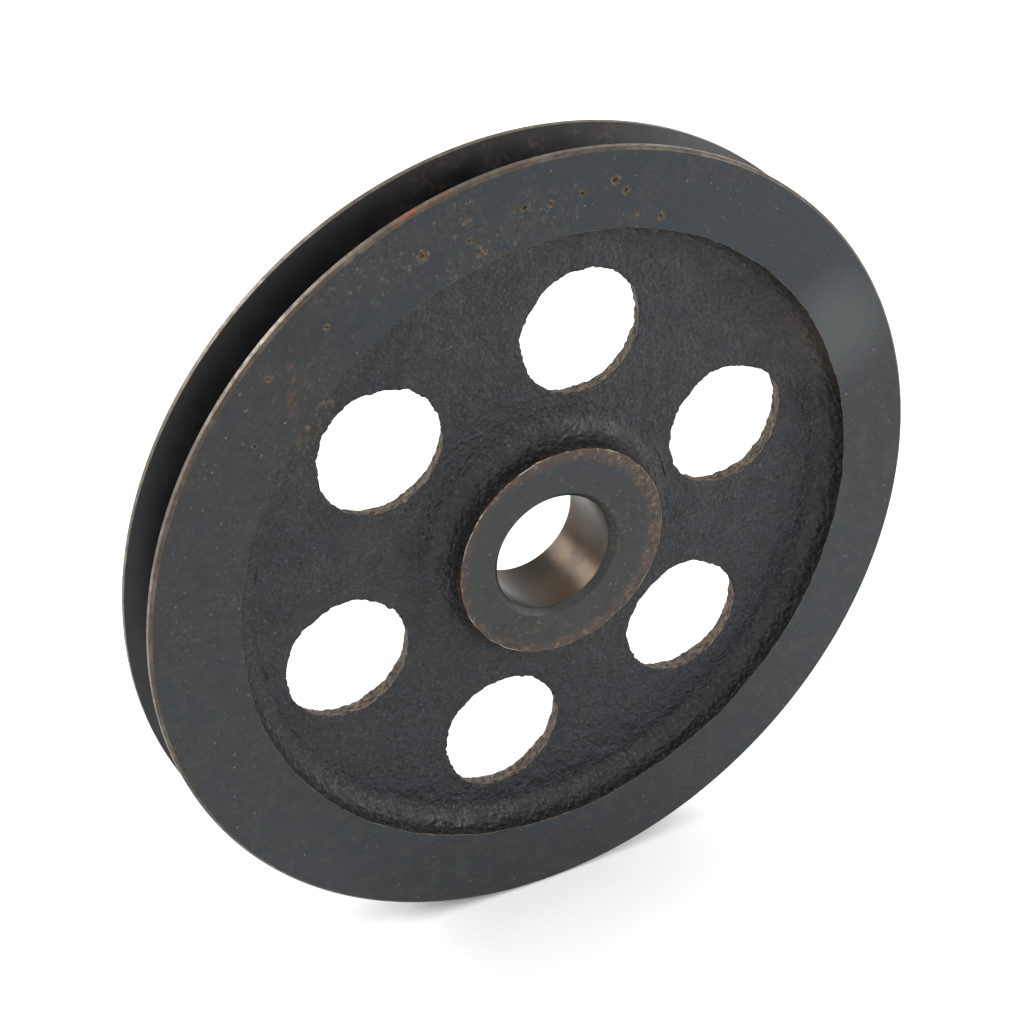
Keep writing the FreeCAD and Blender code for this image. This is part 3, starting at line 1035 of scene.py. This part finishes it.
def rim_rule(away, along, normal, middle):
    """The finish of a face of the rim."""
    if is_face(along, normal, rim_front) or is_face(along, normal, rim_back):
        return rim_finishes.index(turned_face)
    if in_pore(away, along, middle):
        # Faces deep in a pore get the throat finish, whose dark is partly painted shade.
        return rim_finishes.index(throat_rust_and_shade_finish if along > rim_front + 0.26 else crater_finish)
    if away > outer_radius - 0.1 and abs(along) > half_mouth:
        return rim_finishes.index(land_finish)
    if away > outer_radius - rim_chamfer - 0.2 and abs(along) > half_mouth:
        return rim_finishes.index(corner_finish)
    if away > floor_radius - 0.2:
        return rim_finishes.index(groove_finish)
    if is_worn_edge(along, normal, rim_front) or is_worn_edge(along, normal, rim_back):
        return rim_finishes.index(edge_finish)
    return rim_finishes.index(coarse_skin if is_steep(middle, recess_radius - 4.5, 1) else cast_skin)


lay_finishes(rim, rim_finishes, rim_rule)

# %% Finishes of the hub
hub_finishes = [hub_face, bore_finish, hub_edge_finish, coarse_skin, cast_skin]


def hub_rule(away, along, normal, middle):
    """The finish of a face of the hub."""
    if is_face(along, normal, hub_front) or is_face(along, normal, hub_back):
        return hub_finishes.index(hub_face)
    if away < bore_radius + 0.05:
        return hub_finishes.index(bore_finish)
    if away < bore_radius + bore_chamfer + 0.1:
        return hub_finishes.index(hub_face)
    if is_worn_edge(along, normal, hub_front) or is_worn_edge(along, normal, hub_back):
        return hub_finishes.index(hub_edge_finish)
    return hub_finishes.index(coarse_skin if is_steep(middle, hub_radius + 3.5, -1) else cast_skin)


lay_finishes(hub, hub_finishes, hub_rule)

# %% Finishes of the web
web_finishes = [cast_skin, hole_finish]


def web_rule(away, along, normal, middle):
    """The finish of a face of the web. Only the walls of the holes stand up from the sheet."""
    for place in hole_places:
        reached = distance_from_axis(middle, place)
        if reached < hole_radius_at(along) + 1.6 and abs(normal.y) < 0.78:
            return web_finishes.index(hole_finish)
    return web_finishes.index(cast_skin)


lay_finishes(web, web_finishes, web_rule)

# %% [markdown]
# **The table.** A pale laminate, slightly glossy, so that the faces of the wheel pick up some of
# its light.

# %% Finish: table
table_finish, tree, shader, place = start_finish("pale_table_laminate")
pale = layered(tree, "#fbfbfa", [("#f4f4f2", spots(tree, place, 120, 0.4, 0.6))])
satin = (spots(tree, place, 4, 0.3, 0.7), 0.55, 0.65)
finish_shader(tree, shader, pale, satin, [(spots(tree, place, 1.0, 0.3, 0.7), 0.01)])
floor.data.materials.append(table_finish)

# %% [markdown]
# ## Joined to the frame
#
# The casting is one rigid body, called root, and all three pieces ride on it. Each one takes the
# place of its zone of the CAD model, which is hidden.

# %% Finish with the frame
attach(rim, "root")
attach(web, "root")
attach(hub, "root")
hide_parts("rim")
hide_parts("web")
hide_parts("hub")
